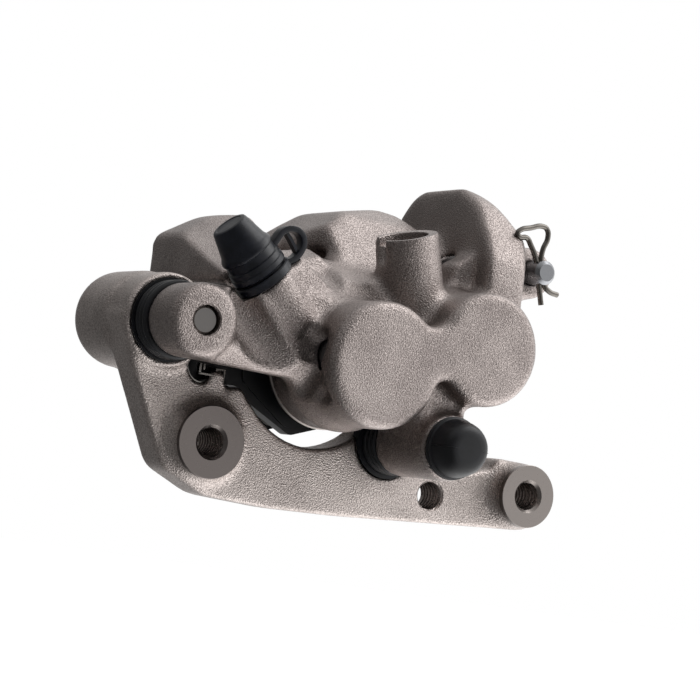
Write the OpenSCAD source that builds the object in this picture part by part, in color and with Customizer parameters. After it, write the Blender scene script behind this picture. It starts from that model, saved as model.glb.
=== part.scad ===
// Two-piston sliding brake caliper on its bracket.
// The origin is midway between the two mounting lugs, on their machined faces.
// X runs along the lugs, Y is the axis of the disc and points to the wheel, Z is up.

/* [Mounting lugs] */
// Distance between the axes of the two threaded lugs
lug_span = 107; // [104:0.5:110]
// Diameter of the machined face of the left lug
lug_left_d = 20; // [18:0.5:22]
// Diameter of the machined face of the right lug
lug_right_d = 18.6; // [17:0.2:20]
// Height of the lug faces above the front of the bracket plate
lug_rise = 5.5; // [4:0.5:7]
// Core diameter of the M8 threads in the lugs and the spare hole
thread_core_d = 6.8; // [6.2:0.1:7.4]
// Depth of the bevel at the mouth of each lug thread
entry_bevel = 0.5; // [0.3:0.1:0.5]
// Distance of the spare threaded hole from the origin along X
spare_hole_x = 22.8; // [20:0.2:26]

/* [Bracket] */
// Thickness of the bracket plate
bracket_t = 11.5; // [11:0.5:12.5]
// Radius of the arch that clears the piston housing
arch_r = 25.2; // [24.8:0.1:26]
// Radius of the boss that takes the upper slide pin
upper_boss_r = 13; // [12.5:0.1:13.5]
// Rear end of that boss
upper_boss_back = 41.5; // [40:0.5:42.5]
// Radius of the notch for the pad hooks
notch_r = 4.9; // [4.6:0.1:5.1]

/* [Slide pins] */
// Height of the upper slide pin above the lugs
upper_pin_z = 30.7; // [30.2:0.1:31.2]
// Diameter of both slide pins
slide_pin_d = 10; // [9:0.5:10.5]
// Diameter of the eye round the upper pin
eye_d = 20; // [18:0.5:21]
// Length of the eye
eye_len = 15.6; // [14:0.2:17]
// Gap between the eye and the bracket boss, filled by the bellows
boot_gap = 6; // [5.4:0.2:7]
// Diameter of the lower boss of the caliper
lower_boss_d = 18.6; // [17.6:0.2:19.4]
// Length of the lower boss
lower_boss_len = 26; // [24:0.5:27]
// Diameter of the rubber sleeve in the lower boss
sleeve_d = 14; // [13.4:0.2:14.8]
// How far the rubber dome stands out of the lower boss
dome_len = 9; // [7:0.5:10]

/* [Pistons] */
// Diameter of the left piston
piston_left_d = 27; // [26:0.5:27.5]
// Diameter of the right piston
piston_right_d = 24; // [23:0.5:25]
// Wall of the housing round each piston
bore_wall = 4; // [3.6:0.2:4.4]
// Distance of the housing front from the lug faces
housing_front = 29; // [28:0.5:31]
// Thickness of the closed end of each bore
bore_end_t = 4; // [3.5:0.5:5]
// Radius of the rounded rim of the housing front
rim_r = 2.5; // [1.5:0.25:3]

/* [Pads and disc] */
// Distance of the front face of the disc from the lug faces
disc_front = 21.25; // [21:0.25:22.5]
// Diameter of the brake disc
disc_d = 240; // [239:0.5:241]
// Thickness of the brake disc
disc_t = 3.5; // [3:0.25:4]
// Running gap on each side of the disc
disc_gap = 0.5; // [0.4:0.05:0.6]
// Thickness of each friction lining
lining_t = 5.5; // [5:0.25:5.75]
// Thickness of each steel backing plate
backing_t = 4.5; // [4:0.25:4.75]
// Thickness of each heat shim
shim_t = 0.6; // [0.5:0.1:0.8]
// Diameter of the pad pin
pad_pin_d = 7; // [6:0.5:7.5]

/* [Bridge] */
// Thickness of the fingers behind the outer pad
finger_t = 10; // [9:0.5:12]
// Height of the left block of the bridge above the lugs
left_top = 67.5; // [66:0.5:69]
// Height of the middle block of the bridge
middle_top = 78; // [76:0.5:80]
// Height of the right lobe of the bridge
lobe_top = 87.5; // [86:0.5:89]

/* [Ports] */
// Diameter of the bleed boss
bleed_boss_d = 14.8; // [14:0.2:15.6]
// Lean of the bleed boss from upright
bleed_lean = 47.5; // [46:0.5:49]
// Diameter of the cast hose boss
hose_boss_d = 18.4; // [17.6:0.2:19]
// Diameter of its machined face
hose_face_d = 14.5; // [13.5:0.25:15]
// Core diameter of the M10 fine thread in the hose boss
hose_core_d = 9; // [8.6:0.1:9.2]

/* [Fits] */
// Radial clearance of parts that slide or turn in each other
running_fit = 0.05; // [0.03:0.01:0.08]
// Clearance round rubber and sheet metal
soft_fit = 0.3; // [0.25:0.05:0.35]
// Clearance of the pads in the housing
pad_fit = 1.2; // [1:0.1:1.4]
// Diameter of the clip wire
wire_d = 1.6; // [1.4:0.1:1.7]

/* [Hidden] */
$fn = 64;

cast_colour = [0.56, 0.51, 0.47];
steel_colour = [0.72, 0.72, 0.73];
rubber_colour = [0.07, 0.07, 0.08];
pad_colour = [0.10, 0.10, 0.11];
lining_colour = [0.34, 0.30, 0.26];
e = 0.01;

// Places in the plane of the bracket, as [x, z]
lug_left = [-lug_span / 2, 0];
lug_right = [lug_span / 2, 0];
spare_hole = [spare_hole_x, -4.4];
upper_pin = [-70.3, upper_pin_z];
lower_pin = [6, 8.7];
bore_left = [-19.6, 27.5];
bore_right = [13.3, 37.4];
pad_pin_at = [39.7, 64.5];
notch_at = [-56.4, 20.5];
arch_at = [-20.6, 28.4];

// The pads stand square to the line from the disc axis to the middle of the pistons
bore_mid = (bore_left + bore_right) / 2;
along = (bore_right - bore_left) / norm(bore_right - bore_left);
outward = [-along.y, along.x];
pad_radius = 106;
disc_at = bore_mid - outward * pad_radius;
disc_clear_r = disc_d / 2 + 2.5;

// Stack along Y, from the lug faces to the fingers
plate_front = lug_rise;
plate_back = plate_front + bracket_t;
disc_back = disc_front + disc_t;
inner_face = disc_front - disc_gap;
inner_plate = inner_face - lining_t;
inner_shim_back = inner_plate - backing_t;
inner_front = inner_shim_back - shim_t;
outer_face = disc_back + disc_gap;
outer_plate = outer_face + lining_t;
outer_shim_front = outer_plate + backing_t;
finger_front = outer_shim_front + shim_t;
finger_back = finger_front + finger_t;
housing_back = 4;

// Functions for outlines
function unit(v) = v / norm(v);
function cross2(a, b) = a.x * b.y - a.y * b.x;
function local(u, v) = bore_mid + along * u + outward * v;
function with_r(p, r) = [p.x, p.y, r];

// The arc that rounds corner b, given as [x, z, radius], between its neighbours a and c
function corner_arc(a, b, c) =
    let (
        p = [b.x, b.y],
        u = unit([a.x, a.y] - p),
        v = unit([c.x, c.y] - p),
        half = acos(max(-1, min(1, u * v))) / 2,
        centre = p + unit(u + v) * b.z / sin(half),
        start = p + u * b.z / tan(half) - centre,
        turn = cross2(u, v) < 0 ? 1 : -1,
        sweep = 180 - 2 * half,
        steps = max(2, ceil(sweep / 12)),
        a0 = atan2(start.y, start.x)
    )
    b.z <= 0 ? [p] : [for (i = [0:steps])
        centre + b.z * [cos(a0 + turn * sweep * i / steps), sin(a0 + turn * sweep * i / steps)]];
function rounded(pts) =
    [for (i = [0:len(pts) - 1])
        each corner_arc(pts[(i + len(pts) - 1) % len(pts)], pts[i], pts[(i + 1) % len(pts)])];

// Centre of the circle of radius r that touches two circles, on the side given by sgn
function valley_at(c1, r1, c2, r2, r, sgn) =
    let (
        d = norm(c2 - c1),
        s = (d * d + pow(r1 + r, 2) - pow(r2 + r, 2)) / (2 * d),
        h = sqrt(max(0, pow(r1 + r, 2) - s * s)),
        n = (c2 - c1) / d
    )
    c1 + n * s + [-n.y, n.x] * h * sgn;

// Extrudes an outline drawn in X and Z from y0 to y1
module across(y0, y1) {
    translate([0, y1, 0]) rotate([90, 0, 0]) linear_extrude(y1 - y0) children();
}

// Extrudes an outline drawn in Y and Z from x0 to x1
module sideways(x0, x1) {
    translate([x0, 0, 0]) rotate([90, 0, 90]) linear_extrude(x1 - x0) children();
}

// Turns a profile about an axis along Y through p, with its top at the front y0
module turned(p, y0, y1) {
    translate([p.x, y1, p.y]) rotate([90, 0, 0]) rotate_extrude() children();
}

module rod(p, r, y0, y1) {
    translate([p.x, y1, p.y]) rotate([90, 0, 0]) cylinder(r = r, h = y1 - y0);
}

// A bar with rounded top edge: radius r, height h, edge radius k
module round_bar(r, h, k) {
    square([r, h - k]);
    square([r - k, h]);
    intersection() {
        translate([r - k, h - k]) circle(k);
        square([r, h]);
    }
}

// A bar whose foot flares out with a hollow fillet f above height z
module flared_bar(r, h, f, z) {
    square([r, h]);
    difference() {
        square([r + f, z + f]);
        translate([r + f, z + f]) circle(f);
    }
}

// Cuts a round recess of radius r whose mouth is rounded by k
module valley_cut(p, r, k, y0, y1) {
    turned(p, y0, y1) {
        square([r, y1 - y0]);
        difference() {
            translate([0, y1 - y0 - k]) square([r + k, k + e]);
            translate([r + k, y1 - y0 - k]) circle(k);
        }
    }
}

// Steel bar along Y with a bevelled tip at the front
module bevelled_rod(p, r, y0, y1, c) {
    turned(p, y0, y1) polygon([[0, 0], [r, 0], [r, y1 - y0 - c], [r - c, y1 - y0], [0, y1 - y0]]);
}

// Middle line of a bent wire: a polyline [x, z, bend radius] with its bends rounded
function bent(pts) = concat(
    [[pts[0].x, pts[0].y]],
    [for (i = [1:len(pts) - 2]) each corner_arc(pts[i - 1], pts[i], pts[i + 1])],
    [[pts[len(pts) - 1].x, pts[len(pts) - 1].y]]
);

// A round wire that follows a line in X and Z at the depth y
module wire(line, y, d) {
    sides = 10;
    n = len(line);
    function heading(i) = unit(unit(line[min(i + 1, n - 1)] - line[max(i - 1, 0)]));
    points = [for (i = [0:n - 1]) for (k = [0:sides - 1])
        let (t = heading(i), w = d / 2 * cos(360 * k / sides))
        [line[i].x - t.y * w, y + d / 2 * sin(360 * k / sides), line[i].y + t.x * w]];
    skin = [for (i = [0:n - 2]) for (k = [0:sides - 1])
        let (a = i * sides + k, b = i * sides + (k + 1) % sides)
        each [[a, b, b + sides], [a, b + sides, a + sides]]];
    first = [for (k = [sides - 1:-1:0]) k];
    last = [for (k = [0:sides - 1]) (n - 1) * sides + k];
    polyhedron(points, concat(skin, [first], [last]));
}

// Bracket
boot_pocket_r = 10.5;
boot_pocket_t = 3;
boss_front = boot_gap / 2;
boot_bead_r = 11.4;
boot_bead_t = 2;
pin_bore_back = upper_boss_back - 4;
abutment_x = -49.6;
ledge_z = 20;
rail_front = outer_plate - 0.6;
rail_back = outer_shim_front + 0.2;

plate_outline = rounded([
    [-84.5, 30, 2], [-64.8, -8.6, 7], [-51, -14.6, 12], [-30, -15.4, 0], [-8, -14.6, 0],
    [62.8, -9.8, 9], [62.8, 9.3, 9], [41, 5.8, 5], [30, 2.4, 6], [17, 10, 2], [10, 16, 0], [-8, 16, 0],
    [-36, 16, 0], [-40.6, 13, 0], [-48, 13, 0], [-48.8, 12.4, 0.4],
    [abutment_x, 12.4, 0.3], [abutment_x, ledge_z, 0.6],
    [-51.6, ledge_z, 0], [-56.4, 19, 0], [-61.2, ledge_z, 0], [-61.2, 34, 0], [-76, 40, 0]
]);
bump_at = [-45, 13.2];
bump_r = 3.2;

rail_outline = rounded([
    [-74, 22, 2], [-66, 15, 4], [-55, 10.5, 3], [abutment_x, 13, 2], [abutment_x, ledge_z, 0.6],
    [-51.6, ledge_z, 0], [-61.2, 26, 0], [-61.2, 34, 0], [-74, 36, 0]
]);

module plate() {
    difference() {
        union() {
            across(plate_front, plate_back) polygon(plate_outline);
            rod(bump_at, bump_r, plate_front, plate_back);
        }
        rod(arch_at, arch_r, plate_front - e, plate_back + e);
    }
}

module lugs() {
    intersection() {
        union() {
            turned(lug_left, 0, plate_back) flared_bar(lug_left_d / 2, plate_back, 4.5, bracket_t);
            turned(lug_right, 0, plate_back) flared_bar(lug_right_d / 2, plate_back, 3.5, bracket_t);
        }
        across(-e, plate_back) polygon(rounded([
            [-80, 21, 0], [-64.8, -8.6, 7], [-51, -14.6, 12], [-30, -15.4, 0], [-8, -14.6, 0],
            [62.8, -9.8, 9], [62.8, 9.3, 9], [42, 10, 0], [-40, 16, 0]
        ]));
    }
}

module upper_pin_boss() {
    turned(upper_pin, boss_front, plate_back) round_bar(upper_boss_r, plate_back - boss_front, 1.5);
    translate([upper_pin.x, plate_back - e, upper_pin.y]) rotate([-90, 0, 0])
        rotate_extrude() round_bar(upper_boss_r + 0.6, upper_boss_back - plate_back + e, 8);
}

module bracket() {
    color(cast_colour) difference() {
        union() {
            plate();
            lugs();
            upper_pin_boss();
            across(rail_front, rail_back) polygon(rail_outline);
            // The bar that joins the rear rail to the plate outside the disc
            across(plate_back - e, rail_front + e) polygon([
                [-74, 30], [-74, 22], [-66, 15], [-61.2, 13], [-61.2, 30]
            ]);
            rod(lower_pin, boot_pocket_r + 1, plate_front, plate_back + 2.5);
        }
        rod(arch_at, arch_r, plate_front - e, plate_back + 3);
        // Notch for the pad hooks, open at the top
        rod(notch_at, notch_r, boss_front - e, upper_boss_back + e);
        across(boss_front - e, upper_boss_back + e)
            translate([notch_at.x - notch_r, notch_at.y]) square([2 * notch_r + 2, 7]);
        // Room for the disc
        rod(disc_at, disc_clear_r, plate_back, rail_front);
        // Bore of the upper slide pin, and the mouth that takes the bellows
        rod(upper_pin, slide_pin_d / 2 + running_fit, boss_front - e, pin_bore_back);
        rod(upper_pin, boot_bead_r, boss_front - e, boss_front + boot_bead_t);
        // Pocket of the lower bellows and the thread of the lower pin
        rod(lower_pin, boot_pocket_r, plate_front - e, plate_front + boot_pocket_t);
        rod(lower_pin, stud_r, plate_front, plate_back + e);
        // Threaded holes with their entry bevels
        for (p = [lug_left, lug_right]) {
            rod(p, thread_core_d / 2, -e, plate_back + e);
            turned(p, -e, entry_bevel) polygon([
                [0, 0], [thread_core_d / 2, 0],
                [thread_core_d / 2 + entry_bevel + e, entry_bevel + e], [0, entry_bevel + e]
            ]);
        }
        rod(spare_hole, thread_core_d / 2, plate_front - e, plate_back + e);
    }
}

// Lower slide pin, screwed into the bracket
stud_r = 4;
lower_pin_tip = -housing_front + 9;
module lower_slide_pin() {
    color(steel_colour) {
        bevelled_rod(lower_pin, slide_pin_d / 2, lower_pin_tip, plate_front + boot_pocket_t, 1);
        rod(lower_pin, stud_r, plate_front + boot_pocket_t - e, plate_back - 1);
    }
}

// Sprung liner of the notch, bent from one strip
retainer_t = 0.5;
retainer_front = max(plate_front - 1, boss_front + boot_bead_t + 0.2);
retainer_back = rail_back + 0.6;
module retainer_section() {
    difference() {
        union() {
            translate(notch_at) circle(notch_r);
            translate(notch_at - [notch_r, 0]) square([notch_r, 4]);
        }
        translate(notch_at) circle(notch_r - retainer_t);
        translate(notch_at - [notch_r - retainer_t, 0]) square([2 * notch_r, 8]);
    }
    translate([notch_at.x + notch_r - retainer_t, ledge_z])
        square([abutment_x - notch_at.x - notch_r + 2 * retainer_t, retainer_t]);
}
module abutment_liner() {
    translate([abutment_x, ledge_z - 5]) square([retainer_t, 5 + e]);
}
module pad_retainer() {
    color(steel_colour) {
        across(retainer_front, plate_back) retainer_section();
        across(rail_front, retainer_back) retainer_section();
        across(plate_front, plate_back) abutment_liner();
        across(rail_front, rail_back) abutment_liner();
        across(retainer_front, retainer_back)
            translate(notch_at - [notch_r, 0] + [0, 1]) square([retainer_t, 3]);
    }
}

// Rubber bellows
boot_r = 11.2;
flange_r = 6.6;
flange_t = 2.2;
module upper_boot() {
    color(rubber_colour) turned(upper_pin, -boss_front, boss_front + boot_bead_t) difference() {
        union() {
            square([boot_bead_r, boot_bead_t]);
            translate([0, boot_bead_t - e]) square([boot_r - 1.4, boot_gap + e]);
            for (i = [0:2]) translate([boot_r - 1.4, boot_bead_t + 1 + i * (boot_gap - 2) / 2]) circle(1);
        }
        translate([-e, -e]) square([flange_r + soft_fit + e, boot_gap + boot_bead_t + 1]);
    }
}

lower_boot_front = -housing_front + 2 + lower_boss_len;
lower_boot_len = plate_front + boot_pocket_t - lower_boot_front;
lower_fold_pitch = (lower_boot_len - boot_pocket_t - 2) / 2;
module lower_boot() {
    color(rubber_colour) turned(lower_pin, lower_boot_front, plate_front + boot_pocket_t) difference() {
        union() {
            square([boot_pocket_r, boot_pocket_t]);
            square([boot_pocket_r - 2.2, lower_boot_len]);
            for (i = [0:2])
                translate([boot_pocket_r - 2.2, boot_pocket_t + 1 + i * lower_fold_pitch]) circle(1);
        }
        translate([-e, -e]) square([slide_pin_d / 2 + soft_fit + e, lower_boot_len + 1]);
    }
}

// Caliper body
left_r = piston_left_d / 2 + bore_wall;
right_r = piston_right_d / 2 + bore_wall;
rim_back = -5;
skirt = 1.7;
lower_boss_front = -housing_front + 2;
eye_front = -boss_front - eye_len;
eye_back = -boss_front;
bore_front = -housing_front + bore_end_t;

// One piston cup of the housing: rounded front, flared skirt and a plain rear part
module piston_cup(p, r) {
    turned(p, -housing_front, rim_back) {
        len = rim_back + housing_front;
        round_bar(r, len, rim_r);
        polygon([[0, 0], [r + skirt, 0], [r + skirt, 1], [r, 9], [0, 9]]);
    }
    rod(p, r + skirt - 0.6, rim_back - e, housing_back);
}

// The web that blends the two cups, with a round valley above and below
valley_top_r = 5;
valley_low_r = 3;
module cup_web() {
    top = valley_at(bore_left, left_r, bore_right, right_r, valley_top_r, 1);
    low = valley_at(bore_left, left_r, bore_right, right_r, valley_low_r, -1);
    difference() {
        across(-housing_front, housing_back)
            polygon([bore_left, top - outward * 0.4, bore_right, low + outward * 0.4]);
        valley_cut(top, valley_top_r, rim_r, -housing_front - e, -housing_front + 14);
        valley_cut(low, valley_low_r, rim_r, -housing_front - e, -housing_front + 18);
    }
}

// Shoulder of the housing, rising from the cups to the bridge
module shoulder() {
    intersection() {
        across(-14, housing_back + 8) polygon(rounded([
            [-34, 19, 1], [-42, 33, 2], [-51, 46, 3], [-40, 56, 6], [-14, 60, 8], [16, 60, 4], [31, 58, 4],
            [32, 44, 6], [20, 34, 0], [-20, 26, 0]
        ]));
        sideways(-60, 40) polygon(rounded([
            [-14, 18, 0], [-14, 44, 2], [-6, 48.5, 8], [8, 57, 4], [14, 58, 0], [14, 18, 0]
        ]));
    }
}

// Raised pad at the foot of the lobe
module lobe_foot() {
    across(-5, housing_back + e)
        polygon(rounded([[12, 50, 0], [12, 62, 0], [20, 67, 2], [27, 66, 2], [30, 50, 0]]));
}

module eye_arm() {
    turned(upper_pin, eye_front, eye_back) round_bar(eye_d / 2, eye_len, 2);
    // Rib from the eye to the housing
    across(eye_front + 3, eye_back - 2) polygon(rounded([
        [upper_pin.x, upper_pin.y - eye_d / 2, 0], [-34, upper_pin.y - eye_d / 2 - 0.4, 0.8],
        [-41.5, 33, 3], [-56, 41.5, 4], [upper_pin.x, upper_pin.y + eye_d / 2, 0]
    ]));
}

// Bleed boss, with its seat at bleed_seat
bleed_seat = [-49.7, -9, 45.1];
bleed_boss_len = 16.4;
module at_bleed() {
    translate(bleed_seat) rotate([0, -bleed_lean, 0]) children();
}
module bleed_boss() {
    at_bleed() rotate([180, 0, 0]) rotate_extrude() round_bar(bleed_boss_d / 2, bleed_boss_len, 3);
    // Flat web beside the boss
    across(-13, -4) polygon([[-47, 47], [-45.5, 49], [-42.8, 51.4], [-29, 41], [-28, 33], [-42, 38]]);
}

// Hose boss, leaning left and forward, with its machined face at hose_seat
hose_seat = [-10.3, -11, 64.6];
hose_lean = [6, -20.6, 0];
hose_boss_len = 30;
hose_offset = [1.8, 0.6, 0];
module at_hose() {
    translate(hose_seat) rotate([0, hose_lean.y, 0]) rotate([hose_lean.x, 0, 0]) children();
}
module hose_boss() {
    at_hose() translate(hose_offset - [0, 0, hose_boss_len]) cylinder(d = hose_boss_d, h = hose_boss_len + 0.6);
}

function lower_pin_side(side, dz, r) = [lower_pin.x + side * (lower_boss_d / 2 - 0.4), lower_pin.y + dz, r];
module lower_boss() {
    turned(lower_pin, lower_boss_front, lower_boot_front) round_bar(lower_boss_d / 2, lower_boss_len, 1);
    // Neck to the housing
    across(-22, lower_boot_front) polygon(rounded([
        lower_pin_side(-1, 2, 0), lower_pin_side(1, 2, 0), [12, 19, 4], [13, 26, 0], [-6, 26, 0], [-4, 19, 4]
    ]));
}

// Blocks of the bridge: each is a front outline cut by a side profile
module left_block() {
    intersection() {
        across(0, finger_back) polygon(rounded([
            [-58.5, 43, 3], [-59.5, 57.5, 4], [-46, left_top - 1.5, 8], [-36, left_top + 0.5, 3],
            [-28, 62, 0], [-28, 40, 0]
        ]));
        translate([-62, 0, 0]) rotate([0, -18, 0]) sideways(-20, 60) polygon(rounded([
            [-16, 36, 0], [-2, 42.5, 6], [10, 46.5, 10], [36, 57.5, 8],
            [finger_back + 1, 57.5, 3], [finger_back + 1, 20, 0], [-16, 20, 0]
        ]));
    }
}

module middle_block() {
    intersection() {
        across(-12, finger_back) polygon(rounded([
            [-26, 44, 0], [-25.5, 64, 4], [-14, middle_top - 5, 6], [2, middle_top - 1, 10],
            [9, middle_top - 1.5, 5], [16, 70, 4], [21, 60, 0], [21, 44, 0]
        ]));
        sideways(-40, 30) polygon(rounded([
            [-13, 44, 0], [-8, 50.5, 5], [4, 56, 6], [16, 72, 8], [30, 79.5, 12], [41, 78, 6],
            [finger_back, 68, 4], [finger_back, 40, 0]
        ]));
    }
}

module right_lobe() {
    intersection() {
        across(-18, finger_back) polygon(rounded([
            [18.5, 40, 0], [18.5, lobe_top, 1.8], [24, lobe_top - 1.5, 8], [33, 74, 14],
            [40.5, 61, 8], [42, 38, 4], [30, 36, 0]
        ]));
        sideways(10, 56) polygon(rounded([
            [-15.5, 40, 0], [-13.6, 66, 14], [-2, 82.5, 16], [14, 89, 18], [34, 86, 16],
            [finger_back, 71, 6], [finger_back, 40, 0]
        ]));
        // Seen from above the front runs back to the right
        linear_extrude(100) polygon(rounded([
            [10, -18, 0], [30, -17, 6], [34.5, -6, 8], [40, 2, 6], [49, 14, 6], [49, 50, 0], [10, 50, 0]
        ]));
    }
}

// Fingers behind the outer pad, with the relief of the boring cutter between them
module fingers() {
    difference() {
        across(finger_front, finger_back) polygon(rounded([
            [-52, 42, 4], [-38, 16, 8], [-22, 10, 8], [-8, 14, 6], [6, 22, 4], [20, 20, 8], [36, 32, 8],
            [46, 52, 6], [42, 68, 4], [18, 70, 0], [-40, 60, 0]
        ]));
        rod(bore_left, piston_left_d / 2 - 3, finger_front - e, finger_back + e);
        rod(bore_right, piston_right_d / 2 - 3, finger_front - e, finger_back + e);
        across(finger_front - e, finger_back + e) for (p = [bore_left, bore_right])
            translate(p) rotate([0, 0, 16.7]) translate([-7, -30]) square([14, 30]);
    }
}

module pad_pin_bosses() {
    rod(pad_pin_at, 7.7, -5, housing_back);
    turned(pad_pin_at, -5, housing_back) round_bar(7.7, housing_back + 5, 1);
    rod(pad_pin_at, 8.5, finger_front, finger_back);
}

// Space inside the bridge for the pads and the disc
pad_top = 15;
pad_room = rounded([
    with_r(local(-46, -30), 0), with_r(local(-46, pad_top + 3), 3), with_r(local(10, pad_top + 3), 4),
    [26, 70, 5], [33, 75, 6], [47, 73, 7], [48.5, 56, 4], with_r(local(44, -30), 0)
]);
module pad_pocket() {
    across(housing_back, finger_front) {
        polygon(pad_room);
    }
    rod(disc_at, disc_clear_r, housing_back + 6, finger_front);
}

// Openings of the bridge through which the pads are seen, and the slot in the middle block
module windows() {
    across(housing_back + 6, finger_front - 4) polygon([[-37.5, 40], [-37.5, 75], [-26.5, 75], [-26.5, 40]]);
    sideways(-30, -16) polygon(rounded([[11.5, 54.5, 1.5], [19, 54.5, 1.5], [19, 60, 1.5], [11.5, 60, 1.5]]));
}

module bores() {
    for (b = [[bore_left, piston_left_d], [bore_right, piston_right_d]]) {
        rod(b[0], b[1] / 2 + running_fit, bore_front, housing_back + e);
        // Grooves of the fluid seal and of the dust seal
        rod(b[0], b[1] / 2 + seal_w, seal_front, seal_front + seal_t);
        rod(b[0], b[1] / 2 + dust_w, dust_front, dust_front + dust_t);
    }
}

module ports() {
    at_bleed() {
        translate([0, 0, -bleed_boss_len + 3]) cylinder(r = bleed_thread_r + running_fit, h = bleed_boss_len);
    }
    at_hose() {
        translate([0, 0, -14]) cylinder(d = hose_core_d, h = 16);
        cylinder(d = hose_face_d, h = 4);
    }
}

module caliper_body() {
    color(cast_colour) difference() {
        union() {
            piston_cup(bore_left, left_r);
            piston_cup(bore_right, right_r);
            cup_web();
            lobe_foot();
            difference() {
                union() {
                    shoulder();
                    left_block();
                    middle_block();
                    right_lobe();
                    fingers();
                    pad_pin_bosses();
                }
                pad_pocket();
            }
            eye_arm();
            bleed_boss();
            hose_boss();
            lower_boss();
        }
        bores();
        ports();
        windows();
        // Room for the rubber cap
        at_bleed() cylinder(r = cap_r + soft_fit, h = cap_len + 4);
        rod(upper_pin, eye_bore_r, eye_front - e, eye_back + e);
        rod(lower_pin, sleeve_d / 2, lower_boss_front - e, lower_boot_front + e);
        rod(pad_pin_at, pad_pin_d / 2 + running_fit, -20, finger_back + e);
    }
}

// Upper slide pin, screwed into the eye
eye_bore_r = 4;
module upper_slide_pin() {
    color(steel_colour) {
        bevelled_rod(upper_pin, eye_bore_r, eye_front + 1.2, eye_back + e, 0.8);
        rod(upper_pin, flange_r, eye_back, eye_back + flange_t);
        rod(upper_pin, slide_pin_d / 2, eye_back, pin_bore_back - 5);
    }
}

// Rubber sleeve whose closed end stands out of the lower boss as a dome
sleeve_t = 1.5;
dome_r = 7.6;
module pin_sleeve() {
    len = lower_boss_len + dome_len;
    color(rubber_colour) turned(lower_pin, lower_boss_front - dome_len, lower_boot_front) difference() {
        union() {
            square([sleeve_d / 2, len - 3]);
            translate([0, lower_boss_len]) round_bar(dome_r, dome_len, 4);
            translate([0, lower_boss_len]) square([dome_r + 1, 2]);
        }
        square([slide_pin_d / 2 + soft_fit, len - 3.5]);
    }
}

// Pistons: hollow cups, open towards the pads
piston_wall = 3;
piston_back_gap = 5;
module piston(p, d) {
    color(steel_colour) difference() {
        turned(p, bore_front + piston_back_gap, inner_front)
            round_bar(d / 2, inner_front - bore_front - piston_back_gap, 1);
        rod(p, d / 2 - piston_wall, bore_front + piston_back_gap + 4, inner_front + e);
    }
}
module piston_left() { piston(bore_left, piston_left_d); }
module piston_right() { piston(bore_right, piston_right_d); }

// Seals
seal_w = 2.4;
seal_t = 2.4;
seal_front = -6;
dust_w = seal_w - 0.6;
dust_front = 0;
dust_t = 2;
// Ring round a piston of diameter d, w wide, from y0 over the thickness t
module ring(p, d, w, y0, t) {
    color(rubber_colour) difference() {
        rod(p, d / 2 + w, y0, y0 + t);
        rod(p, d / 2 + running_fit, y0 - e, y0 + t + e);
    }
}
module seal_left() { ring(bore_left, piston_left_d, seal_w, seal_front, seal_t); }
module seal_right() { ring(bore_right, piston_right_d, seal_w, seal_front, seal_t); }
module dust_seal_left() { ring(bore_left, piston_left_d, dust_w, dust_front, dust_t); }
module dust_seal_right() { ring(bore_right, piston_right_d, dust_w, dust_front, dust_t); }

// Bleed screw: thread, collar, hexagon and barb
bleed_thread_r = 3.5;
module bleed_screw() {
    color(steel_colour) at_bleed() {
        translate([0, 0, -11]) cylinder(r = bleed_thread_r, h = 11.8);
        translate([0, 0, 0.8]) cylinder(d = 9.2, h = 5, $fn = 6);
        translate([0, 0, 5.8 - e]) cylinder(d = 4.6, h = 7);
        translate([0, 0, 12.4]) cylinder(d1 = 6, d2 = 4.4, h = 3);
        translate([0, 0, 10.8]) cylinder(d1 = 4.6, d2 = 6, h = 1.6 + e);
    }
}

// Rubber cap with its collar and the strap loop that keeps it on the nipple
cap_len = 19;
cap_r = 8.2;
cap_profile = [
    [0, 0], [cap_r, 0], [cap_r, 2.6], [6.8, 2.6], [6.8, 3.6], [8, 3.6], [8, 6.8], [7.2, 6.8], [7.2, 9.6],
    [7.7, 9.6], [7.7, 11.2], [6.8, 12], [4.9, cap_len], [0, cap_len]
];
strap_w = 3.6;
strap_outer = [
    [6, 1], [6, 5.4], [8.6, 7.6], [11, 8.4], [13.8, 8.6], [15.9, 7.6], [17, 5.6], [16.9, 3],
    [15.5, 1.1], [13.4, 0.4], [10, 0.3]
];
strap_inner = [
    [9, 2.4], [9.2, 5.4], [10.6, 6.5], [13.2, 6.9], [14.8, 6.1], [15.3, 4.6], [14.9, 2.9], [13.5, 2], [11, 1.9]
];
module bleed_cap() {
    color(rubber_colour) at_bleed() difference() {
        union() {
            rotate_extrude() polygon(cap_profile);
            translate([0, strap_w / 2, 0]) rotate([90, 0, 0]) linear_extrude(strap_w) difference() {
                polygon(strap_outer);
                polygon(strap_inner);
            }
        }
        translate([0, 0, -e]) cylinder(r = 5, h = 6.4);
        cylinder(r = 3.4, h = 16.4);
    }
}

// Pad pin with its cross hole, and the clip through it
pin_tip = -12;
clip_y = -8.5;
clip_hole_r = wire_d + 0.12;
module pad_pin() {
    color(steel_colour) difference() {
        union() {
            bevelled_rod(pad_pin_at, pad_pin_d / 2, pin_tip, finger_back - 2, 0.9);
            rod(pad_pin_at, pad_pin_d / 2 + 1.5, finger_back, finger_back + 2.5);
            rod(pad_pin_at, pad_pin_d / 2, finger_back - 2 - e, finger_back + e);
        }
        translate([pad_pin_at.x, clip_y, pad_pin_at.y - 6]) cylinder(r = clip_hole_r, h = 12);
    }
}

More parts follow.
